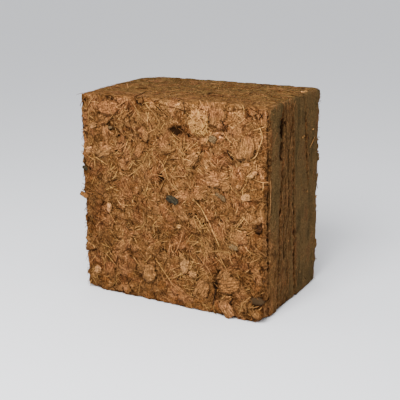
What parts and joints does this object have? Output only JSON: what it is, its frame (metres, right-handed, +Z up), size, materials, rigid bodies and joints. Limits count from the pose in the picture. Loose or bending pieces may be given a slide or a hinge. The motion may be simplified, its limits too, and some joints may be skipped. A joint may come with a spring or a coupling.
{
  "type": "coconut coir bale",
  "caption": "Square block of compressed coconut husk chips, pith and fibre, standing on one smooth mould side.",
  "frame": {"origin": "middle of the underside, on the surface that the bale stands on", "axes": "+Z up; Y is the way it was pressed, with the rough front towards -Y; X along the width"},
  "size_m": [0.304, 0.199, 0.3013],
  "materials": {
    "pressed_coir": "matt, fibrous, rough on the two pressed faces and rubbed smooth on the four mould sides"
  },
  "bodies": {
    "root": {"coir_bale": "pressed_coir"}
  },
  "joints": []
}
